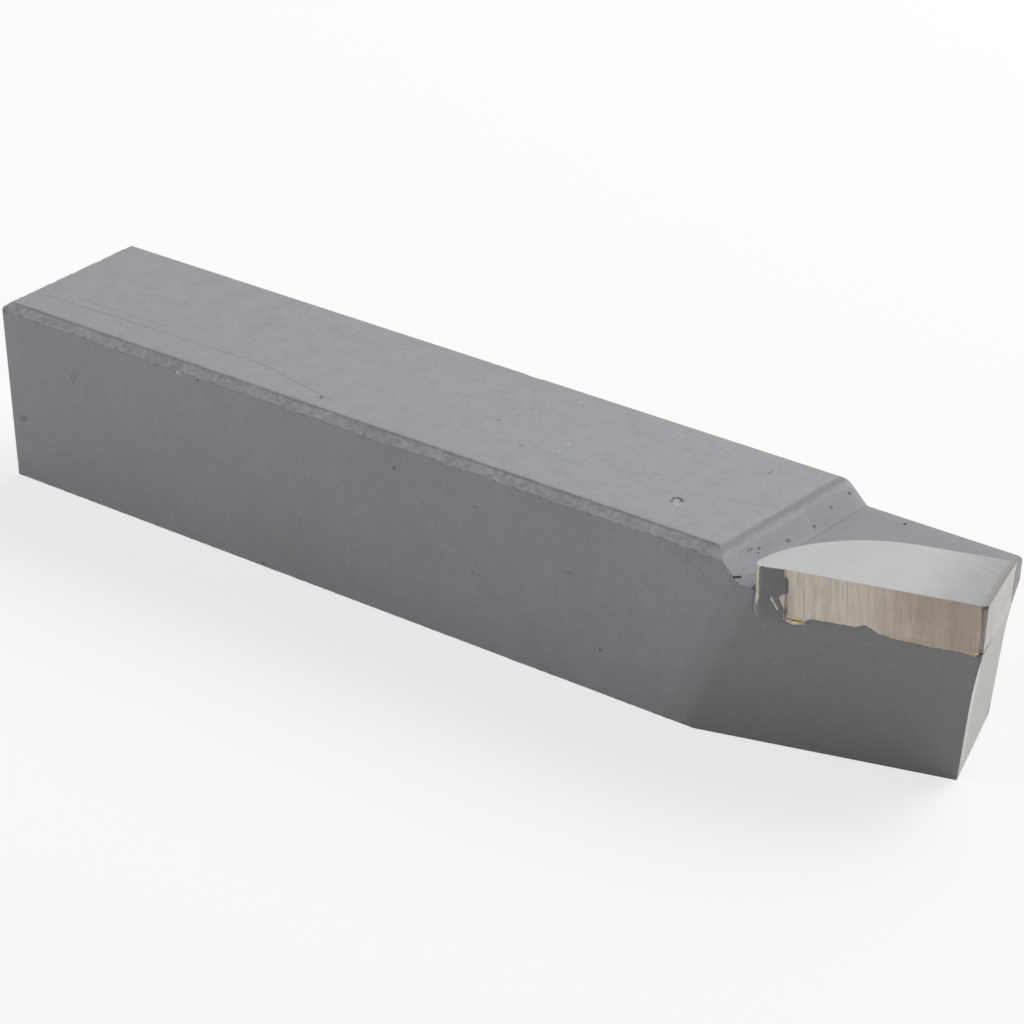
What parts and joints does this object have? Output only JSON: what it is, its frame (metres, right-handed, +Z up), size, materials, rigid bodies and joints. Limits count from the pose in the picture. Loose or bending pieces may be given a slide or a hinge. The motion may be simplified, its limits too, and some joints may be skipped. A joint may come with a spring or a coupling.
{
  "type": "brazed single-point turning tool",
  "caption": "Square-shank turning tool with a carbide tip brazed into its front left corner, for turning and facing on a lathe.",
  "frame": {"origin": "middle of the shank's base, halfway along the tool's length", "axes": "+X along the shank towards the cutting nose, +Y away from the cutting side, +Z up from the base to the cutting edge"},
  "size_m": [0.1146, 0.0192, 0.0191],
  "materials": {
    "painted_shank": "satin mid-grey paint over rolled steel, bare ground steel at the end below the tip, one long edge worn",
    "carbide": "smooth light grey tungsten carbide, the side coarsely ground, with a patch of paint left at the rear",
    "braze": "dull yellow braze metal, ground off at the edges"
  },
  "bodies": {
    "root": {"shank": "painted_shank", "carbide_tip": "carbide", "braze_joint": "braze"}
  },
  "joints": []
}
